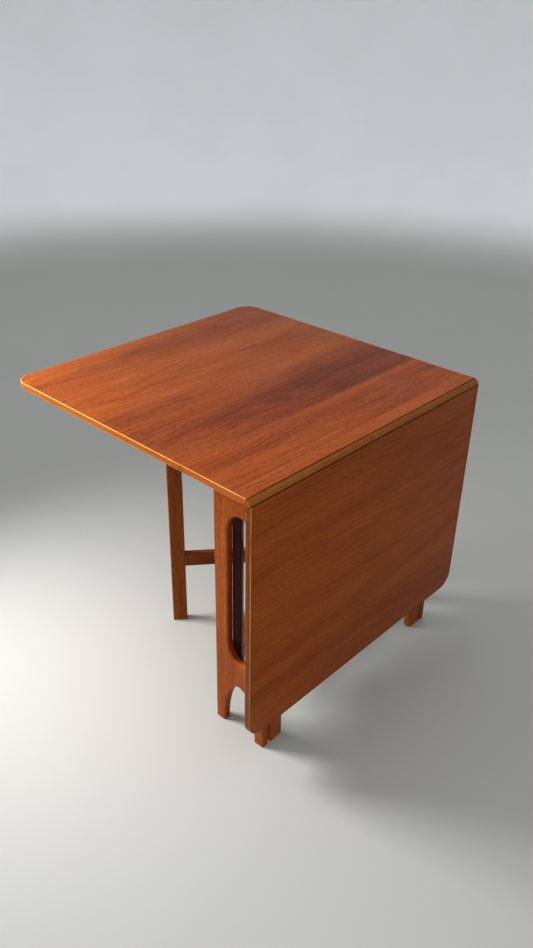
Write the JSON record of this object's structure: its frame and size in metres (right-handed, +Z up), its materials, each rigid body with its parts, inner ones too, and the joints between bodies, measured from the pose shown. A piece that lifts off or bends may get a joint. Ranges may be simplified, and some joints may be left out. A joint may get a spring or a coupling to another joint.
{
  "type": "drop leaf table",
  "caption": "Narrow table with a wide leaf on a rule joint at each side, held up by swinging gate legs between slotted end frames; one leaf is up and the other hangs down.",
  "frame": {"origin": "on the floor, under the middle of the table as it is set up, with one leaf up and one down; the centre line of the base is at X = 0.303 m", "axes": "+Z up, +Y along the hinge lines, +X from the raised leaf to the hanging leaf"},
  "size_m": [0.814, 0.82, 0.735],
  "materials": {
    "top_veneer": "satin lacquer over mahogany-coloured veneer",
    "left_leaf_veneer": "satin lacquer over mahogany-coloured veneer",
    "right_leaf_veneer": "satin lacquer over mahogany-coloured veneer",
    "edge_lipping": "satin lacquered solid lipping",
    "joint_moulding": "satin lacquered solid moulding",
    "end_frame_wood": "satin lacquered solid board",
    "gate_wood": "satin lacquered solid wood",
    "rail_wood": "thin lacquer on solid wood",
    "stop_block_wood": "thin lacquer on solid wood",
    "dowel_wood": "bare beech",
    "pivot_steel": "turned steel",
    "screw_steel": "dull plated steel",
    "hinge_steel": "dull brass-plated steel"
  },
  "bodies": {
    "root": {"centre_panel": "top_veneer", "far_cross_rail": "rail_wood", "far_end_frame": "end_frame_wood", "far_end_lipping": "edge_lipping", "frame_dowels": "dowel_wood", "left_hinge_pins": "hinge_steel", "left_hinge_top_plates": "hinge_steel", "left_hinge_top_screws": "screw_steel", "left_long_rail": "rail_wood", "left_ovolo_strip": "joint_moulding", "lower_board": "rail_wood", "lower_pivot_pins": "pivot_steel", "near_cross_rail": "rail_wood", "near_end_frame": "end_frame_wood", "near_end_lipping": "edge_lipping", "right_hinge_pins": "hinge_steel", "right_hinge_top_plates": "hinge_steel", "right_hinge_top_screws": "screw_steel", "right_long_rail": "rail_wood", "right_ovolo_strip": "joint_moulding", "top_screws": "screw_steel", "upper_pivot_pins": "pivot_steel"},
    "left_leaf": {"left_hinge_leaf_plates": "hinge_steel", "left_hinge_leaf_screws": "screw_steel", "left_leaf_cove_strip": "joint_moulding", "left_leaf_lipping": "edge_lipping", "left_leaf_panel": "left_leaf_veneer", "left_leaf_stop_blocks": "stop_block_wood", "left_leaf_stop_screws": "screw_steel"},
    "right_leaf": {"right_hinge_leaf_plates": "hinge_steel", "right_hinge_leaf_screws": "screw_steel", "right_leaf_cove_strip": "joint_moulding", "right_leaf_lipping": "edge_lipping", "right_leaf_panel": "right_leaf_veneer", "right_leaf_stop_blocks": "stop_block_wood", "right_leaf_stop_screws": "screw_steel"},
    "left_far_gate": {"left_far_gate_outer_post": "gate_wood", "left_far_gate_pivot_post": "gate_wood", "left_far_gate_stretcher": "gate_wood", "left_far_gate_top_rail": "gate_wood"},
    "left_near_gate": {"left_near_gate_outer_post": "gate_wood", "left_near_gate_pivot_post": "gate_wood", "left_near_gate_stretcher": "gate_wood", "left_near_gate_top_rail": "gate_wood"},
    "right_far_gate": {"right_far_gate_outer_post": "gate_wood", "right_far_gate_pivot_post": "gate_wood", "right_far_gate_stretcher": "gate_wood", "right_far_gate_top_rail": "gate_wood"},
    "right_near_gate": {"right_near_gate_outer_post": "gate_wood", "right_near_gate_pivot_post": "gate_wood", "right_near_gate_stretcher": "gate_wood", "right_near_gate_top_rail": "gate_wood"}
  },
  "joints": [
    {"name": "left_leaf_play", "type": "hinge", "parent": "root", "child": "left_leaf", "pos_m": [0.213, 0, 0.721], "axis": [0, 1, 0], "range_deg": [0, 1.5]},
    {"name": "right_leaf_hinge", "type": "hinge", "parent": "root", "child": "right_leaf", "pos_m": [0.393, 0, 0.721], "axis": [0, -1, 0], "range_deg": [0, 90]},
    {"name": "left_far_gate_swing", "type": "hinge", "parent": "root", "child": "left_far_gate", "pos_m": [0.258, 0.296, 0], "axis": [0, 0, 1], "range_deg": [0, 37.6]},
    {"name": "left_near_gate_swing", "type": "hinge", "parent": "root", "child": "left_near_gate", "pos_m": [0.258, -0.296, 0], "axis": [0, 0, -1], "range_deg": [0, 33.75]},
    {"name": "right_far_gate_play", "type": "hinge", "parent": "root", "child": "right_far_gate", "pos_m": [0.348, 0.296, 0], "axis": [0, 0, 1], "range_deg": [0, 0.8]},
    {"name": "right_near_gate_play", "type": "hinge", "parent": "root", "child": "right_near_gate", "pos_m": [0.348, -0.296, 0], "axis": [0, 0, -1], "range_deg": [0, 0.8]}
  ],
  "couplings": [
    {"joint": "left_near_gate_swing", "follows": "left_far_gate_swing", "ratio": 0.8965},
    {"joint": "right_near_gate_play", "follows": "right_far_gate_play", "ratio": 1}
  ]
}
